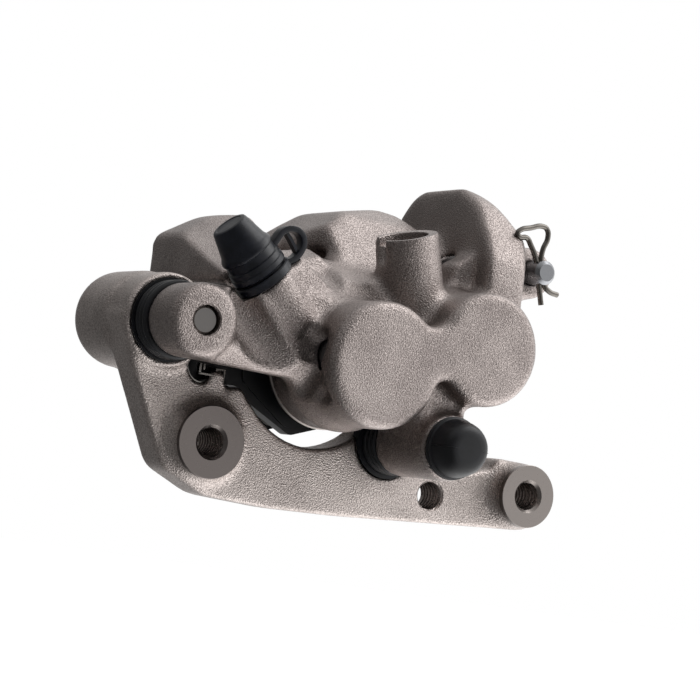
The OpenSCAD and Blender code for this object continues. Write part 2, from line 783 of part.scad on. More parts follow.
clip_drop = 9.5;
clip_rise = 12.2;
module pad_pin_clip() {
    x = pad_pin_at.x;
    z = pad_pin_at.y;
    g = wire_d / 2 + 0.03;
    top = z + clip_rise;
    color(steel_colour) wire(bent([
        [x - g, z - clip_drop, 0], [x - g, z + 4.6, 4], [x - 3.2, top - 3, 2], [x - 6.4, top - 2.4, 1],
        [x - 6.2, top - 0.4, 1.4], [x + 3.6, top + 0.5, 1.3], [x + 3.9, top - 3.4, 3], [x + g, z + 5, 3],
        [x + g, z - 5, 2], [x + 6.6, z - clip_drop + 1.6, 0]
    ]), clip_y, wire_d);
}

// Leaf spring under the bridge that steadies the pads
spring_t = 0.5;
module pad_spring() {
    top = pad_top + 3;
    color(steel_colour) across(inner_plate - 2, outer_plate + 2) {
        polygon([for (p = [
            [-8, top], [8, top], [16, pad_top + 0.7], [18, pad_top + 1.6], [18, pad_top + 1.1],
            [16, pad_top + 0.2], [8, top - spring_t], [-8, top - spring_t], [-16, pad_top + 0.2],
            [-18, pad_top + 1.1], [-18, pad_top + 1.6], [-16, pad_top + 0.7]
        ]) local(p.x, p.y)]);
    }
}

// Pads
pad_left_x = abutment_x + retainer_t + 0.15;
pad_ledge_z = ledge_z + retainer_t + 0.2;
hook_r = notch_r - retainer_t - 0.4;
pad_low = -18.3;
ear_r = 6.4;
pad_outline = rounded([
    [pad_left_x, 16.9, 0.6], [-43.2, 16.9, 2], [-39.6, 13.4, 3], [-24, 5.9, 2.5],
    with_r(local(-6, pad_low), 0), with_r(local(27, pad_low), 4), with_r(local(40, -7), 4), [40.6, 50, 10],
    [46.1, 60, 3], [46.1, 64.5, 0], [33.3, 64.5, 0], [28, 59, 4], with_r(local(20, pad_top), 4),
    with_r(local(-36, pad_top), 6), [-49, 27.4, 3], [-60.3, 25.4, 2.5], [-60.3, 20.5, 0],
    [notch_at.x + hook_r, 20.5, 0], [notch_at.x + hook_r, pad_ledge_z, 0], [pad_left_x, pad_ledge_z, 0]
]);
module pad_plate(y0, y1) {
    difference() {
        across(y0, y1) difference() {
            union() {
                polygon(pad_outline);
                translate(pad_pin_at) circle(ear_r);
                intersection() {
                    translate(notch_at) circle(hook_r);
                    translate(notch_at - [hook_r, hook_r]) square([2 * hook_r, hook_r + e]);
                }
            }
            translate(lower_pin) circle(boot_pocket_r + 1 + pad_fit);
        }
        rod(pad_pin_at, pad_pin_d / 2 + soft_fit, y0 - e, y1 + e);
    }
}
lining_outline = rounded([
    with_r(local(-41, -2), 3), with_r(local(-29, pad_low + 1.2), 4), with_r(local(29, pad_low + 1.2), 4),
    with_r(local(40, -4), 4), with_r(local(38, pad_top - 3), 4), with_r(local(-38, pad_top - 3), 4)
]);
// The face with the dust groove is at the back of the inner lining and the front of the outer one
groove_depth = 3.5;
module lining(y0, y1, groove_y) {
    color(lining_colour) difference() {
        across(y0, y1) difference() {
            polygon(lining_outline);
            translate(lower_pin) circle(boot_pocket_r + 1 + pad_fit);
        }
        across(groove_y - groove_depth, groove_y + groove_depth)
            translate(local(-0.8, -40)) rotate([0, 0, 16.7]) square([1.6, 80]);
    }
}
module shim(y0, y1) {
    color(pad_colour) across(y0, y1) difference() {
        polygon(lining_outline);
        translate(lower_pin) circle(boot_pocket_r + 1 + pad_fit);
    }
}
module inner_backing() { color(pad_colour) pad_plate(inner_shim_back, inner_plate); }
module inner_lining() { lining(inner_plate, inner_face, inner_face); }
module inner_shim() { shim(inner_front, inner_shim_back); }
module outer_backing() { color(pad_colour) pad_plate(outer_plate, outer_shim_front); }
module outer_lining() { lining(outer_face, outer_plate, outer_face); }
module outer_shim() { shim(outer_shim_front, finger_front); }

bracket();
lower_slide_pin();
pad_retainer();
upper_boot();
lower_boot();
caliper_body();
upper_slide_pin();
pin_sleeve();
piston_left();
piston_right();
seal_left();
seal_right();
dust_seal_left();
dust_seal_right();
bleed_screw();
bleed_cap();
pad_pin();
pad_pin_clip();
pad_spring();
inner_backing();
inner_lining();
inner_shim();
outer_backing();
outer_lining();
outer_shim();
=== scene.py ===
# %% [markdown]
# A sliding brake caliper with two pistons, on the bracket that bolts it to a fork leg.
# The frame brings every piece of the caliper at its real size and place, with plain surfaces and sharp edges.
# This lesson dresses it: castings get the soft edges of a mould, turned parts their crisp chamfers, and
# every surface gets the finish of its real material. Nothing is moved, so the joints still work.

# %% Load the frame
import bpy
import math
from mathutils import Matrix, Quaternion, Vector


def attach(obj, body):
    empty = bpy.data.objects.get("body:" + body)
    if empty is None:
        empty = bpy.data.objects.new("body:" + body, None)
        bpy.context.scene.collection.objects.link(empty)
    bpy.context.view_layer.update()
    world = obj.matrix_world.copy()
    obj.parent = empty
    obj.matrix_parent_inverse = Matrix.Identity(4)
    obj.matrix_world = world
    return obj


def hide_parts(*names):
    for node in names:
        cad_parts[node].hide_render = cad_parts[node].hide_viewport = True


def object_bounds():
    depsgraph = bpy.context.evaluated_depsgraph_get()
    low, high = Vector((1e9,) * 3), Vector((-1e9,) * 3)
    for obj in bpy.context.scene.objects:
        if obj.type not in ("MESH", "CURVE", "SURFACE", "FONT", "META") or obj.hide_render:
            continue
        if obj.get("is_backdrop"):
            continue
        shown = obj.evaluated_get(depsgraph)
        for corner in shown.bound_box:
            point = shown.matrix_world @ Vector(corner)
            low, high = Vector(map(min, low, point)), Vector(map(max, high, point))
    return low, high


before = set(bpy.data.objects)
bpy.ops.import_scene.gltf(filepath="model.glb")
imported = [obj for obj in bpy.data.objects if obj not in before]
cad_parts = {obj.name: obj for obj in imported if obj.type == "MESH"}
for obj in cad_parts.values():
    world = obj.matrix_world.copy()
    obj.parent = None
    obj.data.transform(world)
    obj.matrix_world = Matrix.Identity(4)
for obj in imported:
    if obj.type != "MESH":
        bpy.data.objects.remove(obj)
cad_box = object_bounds()
MM = 0.001

# %% [markdown]
# The camera comes first, because every choice of detail depends on what it sees. The photograph was taken
# from the front left, a little below the middle of the part, with the camera turned slightly on its axis.
# Its place was found by matching the two round lugs, whose rings look like ellipses of a known size.

# %% Camera
camera_at = Vector((-335.5, -536.7, -16.6)) * MM
camera_heading = math.radians(30.85)
camera_rise = math.radians(4.47)
camera_roll = math.radians(8.83)
SENSOR_MM = 36.0
LENS_MM = 114.72

looking = Vector((
    math.sin(camera_heading) * math.cos(camera_rise),
    math.cos(camera_heading) * math.cos(camera_rise),
    math.sin(camera_rise),
))
camera_data = bpy.data.cameras.new("camera")
camera_data.sensor_fit = "HORIZONTAL"
camera_data.sensor_width = SENSOR_MM
camera_data.lens = LENS_MM
camera_data.clip_start = 0.05
camera = bpy.data.objects.new("camera", camera_data)
bpy.context.scene.collection.objects.link(camera)
turn_to_view = looking.to_track_quat("-Z", "Y") @ Quaternion((0, 0, 1), camera_roll)
camera.matrix_world = Matrix.Translation(camera_at) @ turn_to_view.to_matrix().to_4x4()
bpy.context.scene.camera = camera
print("camera right", [round(v, 3) for v in camera.matrix_world.col[0][:3]])

# %% [markdown]
# The frame knows every joint and body, but a turned part also needs the line that it was turned about. These
# are the axes of the real part: the holes and pins that run along Y, and the two bosses that lean.

# %% Axes and places
FACING_FRONT = Matrix.Rotation(math.radians(90), 4, "X")


def along_y(x, y, z):
    """A local frame at x, y, z in mm whose height runs forward, against Y."""
    return Matrix.Translation(Vector((x, y, z)) * MM) @ FACING_FRONT


def leaning(x, y, z, degrees, axis):
    """A local frame at x, y, z in mm, turned about one axis."""
    return Matrix.Translation(Vector((x, y, z)) * MM) @ Matrix.Rotation(math.radians(degrees), 4, axis)


def shifted(placed, x, y, z):
    """A local frame moved by x, y, z in mm along its own axes."""
    return placed @ Matrix.Translation(Vector((x, y, z)) * MM)


lug_left = (-53.5, 0.0)
lug_right = (53.5, 0.0)
spare_hole = (22.8, -4.4)
upper_pin = (-70.3, 30.7)
lower_pin = (6.0, 8.7)
pad_pin_at = (39.7, 64.5)
plate_front = 5.5
plate_back = 17.0
eye_front = -18.6
lower_boss_front = -27.0
pin_tip = -12.0

bleed_frame = leaning(-49.7, -9.0, 45.1, -47.5, "Y")
hose_frame = leaning(-10.3, -11.0, 64.6, -20.6, "Y") @ Matrix.Rotation(math.radians(6), 4, "X")
print("bleed axis", [round(v, 3) for v in bleed_frame.col[2][:3]],
      "hose axis", [round(v, 3) for v in hose_frame.col[2][:3]])

# %% [markdown]
# Materials are small node trees. One function adds a node with its settings and links, and one turns the
# sRGB colours that a person reads off a swatch into the linear numbers that the renderer works in.

# %% Helpers for materials
def linear(hex_colour):
    """The linear colour of an sRGB hex value such as #8c857f."""
    parts = [int(hex_colour[i:i + 2], 16) / 255 for i in (1, 3, 5)]
    curve = [c / 12.92 if c <= 0.04045 else ((c + 0.055) / 1.055) ** 2.4 for c in parts]
    return (*curve, 1.0)


def add(tree, kind, inputs=None, **settings):
    """Adds a node to a tree, sets its properties, and fills or links its inputs."""
    made = tree.nodes.new(kind)
    for name, value in settings.items():
        setattr(made, name, value)
    for name, value in (inputs or {}).items():
        if isinstance(value, bpy.types.NodeSocket):
            tree.links.new(value, made.inputs[name])
        else:
            made.inputs[name].default_value = value
    return made


def per_metre(size_mm):
    """The texture scale at which one feature of a noise is about this many millimetres."""
    return 1000.0 / size_mm


def new_material(name):
    """An empty material with its shader, and the object coordinates that its patterns read."""
    made = bpy.data.materials.new(name)
    made.use_nodes = True
    tree = made.node_tree
    shader = tree.nodes["Principled BSDF"]
    place = add(tree, "ShaderNodeTexCoord").outputs["Object"]
    return made, tree, shader, place


def ramp(tree, fac, stops):
    """A colour ramp with the given (position, colour) stops."""
    made = add(tree, "ShaderNodeValToRGB", {"Fac": fac})
    elements = made.color_ramp.elements
    while len(elements) < len(stops):
        elements.new(0.5)
    for element, (position, colour) in zip(elements, stops):
        element.position = position
        element.color = colour
    return made.outputs["Color"]


# %% [markdown]
# The castings are an aluminium alloy, blasted with fine beads and hard anodised to a warm grey. Blasting
# leaves a satin skin of tiny dents under half a millimetre apart, and each dent throws its own small glint.
# So the finish is a metal with a middling roughness and a fine bump. Handling wears the colour a little
# lighter in broad patches, which only a slow, faint mottle shows.

# %% Cast aluminium, bead blasted and anodised
GRAIN_MM = 0.42
MOTTLE_MM = 14
# A real dent is far shallower, but would not show.
DENT_MM = 0.26


def blasted_aluminium(name, tint, dark_tint, rough):
    made, tree, shader, place = new_material(name)
    grain = add(tree, "ShaderNodeTexNoise", {
        "Vector": place, "Scale": per_metre(GRAIN_MM), "Detail": 1.5, "Roughness": 0.6})
    mottle = add(tree, "ShaderNodeTexNoise", {
        "Vector": place, "Scale": per_metre(MOTTLE_MM), "Detail": 2.0, "Roughness": 0.5})
    both = add(tree, "ShaderNodeMix", {
        "Factor": 0.72, "A": mottle.outputs["Fac"], "B": grain.outputs["Fac"]}, data_type="FLOAT")
    colour = ramp(tree, both.outputs["Result"], [(0.38, linear(dark_tint)), (0.62, linear(tint))])
    tree.links.new(colour, shader.inputs["Base Color"])
    gloss = add(tree, "ShaderNodeMapRange", {
        "Value": grain.outputs["Fac"], "From Min": 0.35, "From Max": 0.65,
        "To Min": rough + 0.06, "To Max": rough - 0.06})
    tree.links.new(gloss.outputs["Result"], shader.inputs["Roughness"])
    dents = add(tree, "ShaderNodeBump", {
        "Height": grain.outputs["Fac"], "Strength": 1.0, "Distance": DENT_MM * MM})
    tree.links.new(dents.outputs["Normal"], shader.inputs["Normal"])
    shader.inputs["Metallic"].default_value = 1.0
    return made


cast_metal = blasted_aluminium("anodised_cast_aluminium", "#b0a6a2", "#807774", 0.38)
# The bracket gets a lighter copy of the body's anodised finish: painted light, for the brighter light that
# falls on the lower plate.
bracket_painted_light_metal = blasted_aluminium("anodised_bracket_aluminium_painted_lighter", "#cbc1bc", "#978e8a", 0.38)
print("casting materials", cast_metal.name, bracket_painted_light_metal.name)

# %% [markdown]
# Turned metal, such as the pins and the faces of the lugs, keeps the fine rings of the lathe tool. Rings
# round an axis along Y come from a wave texture. They are really about a tenth of a millimetre apart, which
# is too fine to show, so they are drawn 2 to 3 mm apart and faint. A metal that is given a centre has its
# rings round that point, and the others have them round the middle of the frame.

# %% Turned and ground metal
TURNED_RINGS_MM = 2.2
DRAWN_RINGS_MM = 3.14
# A wave texture of scale 1 runs through this many radians in a metre.
WAVE_RADIANS = 20


def turned_metal(name, tint, rough, ring_mm, depth_mm, centre=(0, 0, 0)):
    made, tree, shader, place = new_material(name)
    shift = add(tree, "ShaderNodeMapping", {"Vector": place, "Location": [-c * MM for c in centre]})
    ring_scale = per_metre(ring_mm) * 2 * math.pi / WAVE_RADIANS
    rings = add(tree, "ShaderNodeTexWave", {
        "Vector": shift.outputs["Vector"], "Scale": ring_scale, "Distortion": 0.6,
        "Detail": 2.0, "Detail Scale": 4.0}, wave_type="RINGS", rings_direction="Y")
    scuff = add(tree, "ShaderNodeTexNoise", {
        "Vector": place, "Scale": per_metre(1.1), "Detail": 3.0, "Roughness": 0.55})
    tool = add(tree, "ShaderNodeBump", {
        "Height": rings.outputs["Fac"], "Strength": 0.5, "Distance": depth_mm * MM})
    tree.links.new(tool.outputs["Normal"], shader.inputs["Normal"])
    gloss = add(tree, "ShaderNodeMapRange", {
        "Value": scuff.outputs["Fac"], "From Min": 0.35, "From Max": 0.65,
        "To Min": rough - 0.03, "To Max": rough + 0.05})
    tree.links.new(gloss.outputs["Result"], shader.inputs["Roughness"])
    shader.inputs["Base Color"].default_value = linear(tint)
    shader.inputs["Metallic"].default_value = 1.0
    return made


steel = turned_metal("turned_zinc_plated_steel", "#8e8f92", 0.3, TURNED_RINGS_MM, 0.004)
bright_steel = turned_metal("stainless_spring_strip", "#86837f", 0.28, DRAWN_RINGS_MM, 0.003)
wire_steel = turned_metal("spring_steel_wire", "#6f6b66", 0.22, DRAWN_RINGS_MM, 0.003)
eye_pin_steel = turned_metal(
    "ground_pin_steel", "#74716f", 0.34, TURNED_RINGS_MM, 0.004, (upper_pin[0], 0, upper_pin[1]))
# The left lug's face gets a darker copy of the right lug's machined metal: painted shade, for the shade that
# falls on the left lug.
lug_left_painted_shade_metal = turned_metal(
    "machined_lug_left_painted_shade", "#7a7370", 0.3, TURNED_RINGS_MM, 0.004, (lug_left[0], 0, lug_left[1]))
lug_right_metal = turned_metal(
    "machined_lug_right", "#918a86", 0.3, TURNED_RINGS_MM, 0.004, (lug_right[0], 0, lug_right[1]))
thread_metal = turned_metal("cut_thread_metal", "#7a7370", 0.3, DRAWN_RINGS_MM, 0.002)
print("lug metals", lug_left_painted_shade_metal.name, lug_right_metal.name)

# %% [markdown]
# The rubber is EPDM, which brake fluid doesn't harm. It is moulded, so it has a fine satin skin with a
# soft sheen along its edges, and it is never quite black: dust and bloom lift it a little.

# %% Moulded rubber
def moulded_rubber(name, tint, bloom, rough):
    made, tree, shader, place = new_material(name)
    cloud = add(tree, "ShaderNodeTexNoise", {
        "Vector": place, "Scale": per_metre(4), "Detail": 5.0, "Roughness": 0.6})
    skin = add(tree, "ShaderNodeTexNoise", {
        "Vector": place, "Scale": per_metre(0.5), "Detail": 2.0, "Roughness": 0.5})
    colour = ramp(tree, cloud.outputs["Fac"], [(0.4, linear(tint)), (0.8, linear(bloom))])
    tree.links.new(colour, shader.inputs["Base Color"])
    gloss = add(tree, "ShaderNodeMapRange", {
        "Value": cloud.outputs["Fac"], "From Min": 0.3, "From Max": 0.7,
        "To Min": rough - 0.06, "To Max": rough + 0.1})
    tree.links.new(gloss.outputs["Result"], shader.inputs["Roughness"])
    dents = add(tree, "ShaderNodeBump", {
        "Height": skin.outputs["Fac"], "Strength": 0.3, "Distance": 0.00003})
    tree.links.new(dents.outputs["Normal"], shader.inputs["Normal"])
    shader.inputs["IOR"].default_value = 1.52
    shader.inputs["Specular IOR Level"].default_value = 0.35
    return made


rubber = moulded_rubber("moulded_epdm_rubber", "#0a0b0f", "#15161c", 0.4)
cap_rubber = moulded_rubber("moulded_cap_rubber", "#080b13", "#121622", 0.32)
print("rubbers", rubber.name, cap_rubber.name)

# %% [markdown]
# The pads are black: stove paint on the steel plates, and a sintered lining full of metal grains.

# %% Pads
def stoved_paint(name, tint):
    made, tree, shader, place = new_material(name)
    peel = add(tree, "ShaderNodeTexNoise", {
        "Vector": place, "Scale": per_metre(1.1), "Detail": 2.0, "Roughness": 0.5})
    skin = add(tree, "ShaderNodeBump", {
        "Height": peel.outputs["Fac"], "Strength": 0.4, "Distance": 0.00004})
    tree.links.new(skin.outputs["Normal"], shader.inputs["Normal"])
    shader.inputs["Base Color"].default_value = linear(tint)
    shader.inputs["Roughness"].default_value = 0.4
    return made


def sintered_lining(name, binder, grain_tint):
    made, tree, shader, place = new_material(name)
    grains = add(tree, "ShaderNodeTexVoronoi", {"Vector": place, "Scale": per_metre(0.8)})
    colour = ramp(tree, grains.outputs["Distance"], [(0.12, linear(grain_tint)), (0.3, linear(binder))])
    tree.links.new(colour, shader.inputs["Base Color"])
    rough = add(tree, "ShaderNodeBump", {
        "Height": grains.outputs["Distance"], "Strength": 0.6, "Distance": 0.0001})
    tree.links.new(rough.outputs["Normal"], shader.inputs["Normal"])
    shader.inputs["Roughness"].default_value = 0.8
    return made


pad_paint_and_shade = stoved_paint("black_stoved_paint_and_shade", "#08090c")
lining = sintered_lining("sintered_friction_lining", "#2b2724", "#6e5138")


def finish_node(name, material):
    """Gives a node of the frame its material."""
    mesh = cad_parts[name].data
    mesh.materials.clear()
    mesh.materials.append(material)


for node_name in ("lower_slide_pin", "piston_left", "piston_right", "bleed_screw"):
    finish_node(node_name, steel)
for node_name in ("pad_retainer", "pad_spring"):
    finish_node(node_name, bright_steel)
for node_name in ("upper_boot", "lower_boot", "seal_left", "seal_right", "dust_seal_left", "dust_seal_right"):
    finish_node(node_name, rubber)
# The shims get this black too. On them it is partly paint and partly painted shade, for the shade deep inside
# the arch.
for node_name in ("inner_backing", "outer_backing", "inner_shim", "outer_shim"):
    finish_node(node_name, pad_paint_and_shade)
for node_name in ("inner_lining", "outer_lining"):
    finish_node(node_name, lining)
finish_node("upper_slide_pin", eye_pin_steel)
print("nodes that keep their own mesh are finished")

# %% [markdown]
# A sand casting has no sharp edge: the mould rounds every corner, and fillets fill every hollow. The frame's
# body has the right form with sharp edges. One way would be to bevel its edges one by one, but hundreds of
# them meet at odd angles. Instead a copy is turned into an even skin of small cells by a voxel remesh, and
# the skin is relaxed until the edges have the radius of the casting. The machined faces are cut afterwards,
# so that they stay crisp.

# %% Helpers for selecting, copying and cutting
def clear():
    """Leaves nothing selected, because an operator acts on all that is."""
    if bpy.context.object and bpy.context.object.mode != "OBJECT":
        bpy.ops.object.mode_set(mode="OBJECT")
    bpy.ops.object.select_all(action="DESELECT")


def pick(*objects):
    """Selects these objects alone, with the first one active."""
    clear()
    for chosen in objects:
        chosen.select_set(True)
    bpy.context.view_layer.objects.active = objects[0]
    return objects[0]


def apply_modifier(piece, kind, **settings):
    """Adds a modifier to a piece, sets it and applies it."""
    pick(piece)
    modifier = piece.modifiers.new(kind.lower(), kind)
    for name, value in settings.items():
        setattr(modifier, name, value)
    bpy.ops.object.modifier_apply(modifier=modifier.name)


def settle(piece, placed=None):
    """Moves a piece to its place and bakes the place into its mesh."""
    if placed is not None:
        piece.matrix_world = placed @ piece.matrix_world
    pick(piece)
    bpy.ops.object.transform_apply(location=True, rotation=True, scale=True)
    return piece


def face_outwards(piece):
    """Turns all faces of a closed piece outwards."""
    pick(piece)
    bpy.ops.object.mode_set(mode="EDIT")
    bpy.ops.mesh.select_all(action="SELECT")
    bpy.ops.mesh.normals_make_consistent(inside=False)
    bpy.ops.object.mode_set(mode="OBJECT")
    return piece


def copy_of_node(name, title):
    """A merged copy of a node of the frame, free to be reshaped."""
    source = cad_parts[name]
    copied = bpy.data.objects.new(title, source.data.copy())
    bpy.context.scene.collection.objects.link(copied)
    pick(copied)
    bpy.ops.object.mode_set(mode="EDIT")
    bpy.ops.mesh.select_all(action="SELECT")
    bpy.ops.mesh.remove_doubles(threshold=1e-6)
    bpy.ops.object.mode_set(mode="OBJECT")
    copied.data.materials.clear()
    return copied


def combine(piece, tool, operation):
    """Cuts a tool out of a piece, or adds it, and throws the tool away."""
    apply_modifier(piece, "BOOLEAN", operation=operation, object=tool, solver="MANIFOLD")
    bpy.data.objects.remove(tool, do_unlink=True)


# %% [markdown]
# Most real shapes here come off a lathe or out of a block. A turned piece starts as a disc, which is pulled
# up step by step and made wider or narrower at each step. A curve that is spun would do it too, but the
# steps keep the sizes of a drawing in view. Helpers that soften a casting and lay a thread follow.

# %% Helpers for shapes
def turn(name, rings, placed, segments=96):
    """A turned piece: a disc that is extruded and resized to each next (radius, height), in mm."""
    clear()
    bpy.ops.mesh.primitive_circle_add(
        vertices=segments, radius=rings[0][0] * MM, fill_type="NGON", location=(0, 0, rings[0][1] * MM))
    piece = bpy.context.object
    piece.name = name
    bpy.ops.object.transform_apply(location=True)
    bpy.ops.object.mode_set(mode="EDIT")
    bpy.ops.mesh.select_all(action="SELECT")
    for (radius, height), (next_radius, next_height) in zip(rings, rings[1:]):
        rise = (0, 0, (next_height - height) * MM)
        bpy.ops.mesh.extrude_region_move(TRANSFORM_OT_translate={"value": rise})
        grow = next_radius / radius
        bpy.ops.transform.resize(value=(grow, grow, 1), center_override=(0, 0, next_height * MM))
    bpy.ops.object.mode_set(mode="OBJECT")
    settle(piece, placed)
    return face_outwards(piece)


def box(name, low, high, placed=None):
    """A box between two corners, in mm."""
    clear()
    middle = [(a + b) / 2 * MM for a, b in zip(low, high)]
    bpy.ops.mesh.primitive_cube_add(size=1, location=middle)
    piece = bpy.context.object
    piece.name = name
    piece.scale = [(b - a) * MM for a, b in zip(low, high)]
    settle(piece)
    return settle(piece, placed) if placed is not None else piece


def keep_behind(piece, point, normal):
    """Slices a piece by a plane and keeps what lies behind it."""
    pick(piece)
    bpy.ops.object.mode_set(mode="EDIT")
    bpy.ops.mesh.select_all(action="SELECT")
    bpy.ops.mesh.bisect(
        plane_co=Vector(point) * MM, plane_no=normal, use_fill=True, clear_outer=True)
    bpy.ops.object.mode_set(mode="OBJECT")
    return face_outwards(piece)


def relax(piece, rounds, reach):
    """Smooths the part of a piece that a function of x, y, z in mm picks, with weights from 0 to 1."""
    group = piece.vertex_groups.new(name="relaxed")
    for vertex in piece.data.vertices:
        weight = reach(*(vertex.co / MM))
        if weight > 0:
            group.add([vertex.index], min(1.0, weight), "REPLACE")
    apply_modifier(piece, "SMOOTH", factor=0.5, iterations=rounds, vertex_group="relaxed")
    piece.vertex_groups.clear()


def soften(piece, cell_mm, swell_mm, rounds):
    """Turns a piece into an even skin, fills its hollows by swelling and shrinking it, and relaxes it."""
    apply_modifier(piece, "REMESH", mode="VOXEL", voxel_size=cell_mm * MM)
    apply_modifier(piece, "DISPLACE", strength=swell_mm * MM, mid_level=0.0)
    apply_modifier(piece, "REMESH", mode="VOXEL", voxel_size=cell_mm * MM)
    apply_modifier(piece, "SMOOTH", factor=0.5, iterations=2)
    apply_modifier(piece, "DISPLACE", strength=-swell_mm * MM, mid_level=0.0)
    apply_modifier(piece, "REMESH", mode="VOXEL", voxel_size=cell_mm * MM)
    apply_modifier(piece, "SMOOTH", factor=0.5, iterations=rounds)
    print(piece.name, "faces", len(piece.data.polygons))


def finish_piece(piece, body, slot, material, *nodes, edge=40):
    """Gives a piece its shading, material and body, and hides the nodes of the frame that it stands for."""
    pick(piece)
    bpy.ops.object.shade_smooth_by_angle(angle=math.radians(edge))
    piece.data.materials.clear()
    piece.data.materials.append(material)
    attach(piece, body)
    if nodes:
        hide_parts(*nodes)
    print(piece.name, "faces", len(piece.data.polygons))


def thread(name, core_mm, major_mm, pitch_mm, length_mm, placed):
    """The ridges of an inner thread: a small triangle that a screw modifier carries round and along.

    A ridge takes up half of the pitch, so that the dark grooves between the ridges stay wide enough to see.
    """
    clear()
    ridge_share = 0.5
    bite = 0.02
    depth = (major_mm - core_mm) / 2
    side = pitch_mm / math.sqrt(3)
    inwards = (math.radians(90), math.radians(-90), 0)
    bpy.ops.mesh.primitive_circle_add(vertices=3, radius=side * MM, rotation=inwards)
    ridge = bpy.context.object
    ridge.name = name
    ridge.scale = (ridge_share, depth / (1.5 * side), 1)
    bpy.ops.object.transform_apply(rotation=True, scale=True)
    ridge.location.x = (major_mm / 2 - depth / 3 + bite) * MM
    bpy.ops.object.transform_apply(location=True)
    turns = int(length_mm / pitch_mm)
    apply_modifier(ridge, "SCREW", axis="Z", angle=2 * math.pi, screw_offset=pitch_mm * MM,
                   iterations=turns, steps=40, render_steps=40, use_merge_vertices=True)
    pick(ridge)
    bpy.ops.object.mode_set(mode="EDIT")
    bpy.ops.mesh.select_all(action="SELECT")
    bpy.ops.mesh.fill_holes(sides=3)
    bpy.ops.object.mode_set(mode="OBJECT")
    settle(ridge, placed)
    return face_outwards(ridge)


def join(piece, *others):
    """Makes several meshes one piece."""
    pick(piece, *others)
    bpy.ops.object.join()
    return piece


# %% [markdown]
# The body is one casting. Before its edges are softened, the copy gets the forms that a mould maker blends
# in by hand. The arm falls away below in a broad chamfer and is hollowed along the bleed boss, so that the
# boss stands proud with a rounded end. A fin runs beside it, the wall of the hose port is filled so that it
# can be bored later, and the middle block of the bridge has its left corner drawn back.

# %% Forms of the arm and the bridge
body_casting = copy_of_node("caliper_body", "caliper_casting")

chamfer = box("chamfer", (-14, -7, -7), (17, 0, 7), leaning(-50, -13.2, 22.9, 45, "X"))
combine(body_casting, chamfer, "DIFFERENCE")

groove_lean = Matrix.Rotation(math.radians(-9.0), 4, "X")
groove = turn("groove", [(5.8, -34.0), (5.8, 6.0)], shifted(bleed_frame, -13.2, -5.6, 0) @ groove_lean)
combine(body_casting, groove, "DIFFERENCE")
foot_rings = [(1.0, -27.0), (4.6, -22.5), (4.6, -12.0)]
foot_cut = turn("foot", foot_rings, shifted(bleed_frame, -2.6, -9.7, 0))
combine(body_casting, foot_cut, "DIFFERENCE")
side_rings = [(2.6, -15.0), (2.6, 3.0)]
side_cut = turn("side", side_rings, shifted(bleed_frame, 9.2, -7.4, 0))
combine(body_casting, side_cut, "DIFFERENCE")
bleed_boss_rings = [(4.0, -16.6), (5.9, -16.1), (6.9, -15.0), (7.4, -13.0), (7.4, 0.0)]
combine(body_casting, turn("bleed_boss", bleed_boss_rings, bleed_frame), "UNION")

EYE_LENGTH = 15.6
eye_rings = [(10.0, 0.0), (10.0, 13.8), (9.4, 15.0), (8.2, EYE_LENGTH)]
eye_at = along_y(upper_pin[0], eye_front + EYE_LENGTH, upper_pin[1])
combine(body_casting, turn("eye", eye_rings, eye_at), "UNION")

fin = box("fin", (-10, -4, -3.4), (10.5, 4.5, 2.6), leaning(-33.8, -7.2, 46.2, 32, "Y"))
combine(body_casting, fin, "UNION")

port_wall = turn("port_wall", [(9.0, -13.0), (9.0, 1.4)], shifted(hose_frame, 1.7, 0.6, 0))
combine(body_casting, port_wall, "UNION")

corner = box("corner", (-27, -12, 56.5), (-12, 24, 92))
corner = keep_behind(corner, (-25.6, 22.0, 70), (0.93, 0.368, 0))
combine(body_casting, corner, "DIFFERENCE")
print("caliper body with its hollows", len(body_casting.data.polygons))

# %% [markdown]
# The whole body gets one even softening. The tops of the bridge and of the lobe are rounder still on the real
# part, so they are relaxed further, with a weight that fades in over 8 mm and leaves no step.

# %% Softened body
FADE_MM = 8


def bridge_tops(x, y, z):
    """1 on the tops of the bridge, 0 on the cups, the arm and the bosses."""
    if y < -6 and x < 24:
        return 0
    return (z - 50) / FADE_MM


def lobe_top(x, y, z):
    """1 on the top of the lobe at the right, 0 on all else."""
    if x > 14 and y > -14:
        return (z - 64) / FADE_MM
    return 0


soften(body_casting, 0.8, 1.4, 4)
relax(body_casting, 14, bridge_tops)
relax(body_casting, 30, lobe_top)

# %% [markdown]
# Machining comes after casting. The seat of the bleed screw and the face of the hose port are milled flat,
# the eye is bored, and the front of the lower boss is faced. Each cutter is a plain turned shape, as the
# real ones are.

# %% Machined faces of the body
bleed_cutter = turn("cutter", [(9.6, 0.0), (9.6, 7.0)], bleed_frame)
combine(body_casting, bleed_cutter, "DIFFERENCE")
bleed_hole = turn("cutter", [(3.6, -13.0), (3.6, 2.0)], bleed_frame)
combine(body_casting, bleed_hole, "DIFFERENCE")
hose_cutter = turn("cutter", [(13.0, 0.55), (13.0, 6.0)], hose_frame)
combine(body_casting, hose_cutter, "DIFFERENCE")
hose_hole_rings = [
    (5.02, -14.0), (5.02, -2.4), (5.8, -1.7), (6.95, -1.7), (6.95, 0.3), (7.15, 0.6), (7.15, 3.0)
]
hose_hole = turn("cutter", hose_hole_rings, shifted(hose_frame, 0.8, 0.4, 0))
combine(body_casting, hose_hole, "DIFFERENCE")
eye_bore = turn("cutter", [(4.02, 0.0), (4.02, 17.2), (4.5, 17.8), (4.5, 19)],
                along_y(upper_pin[0], -1.0, upper_pin[1]))
combine(body_casting, eye_bore, "DIFFERENCE")
boss_face = turn("cutter", [(12.0, 0.0), (12.0, 6.0)], along_y(lower_pin[0], lower_boss_front, lower_pin[1]))
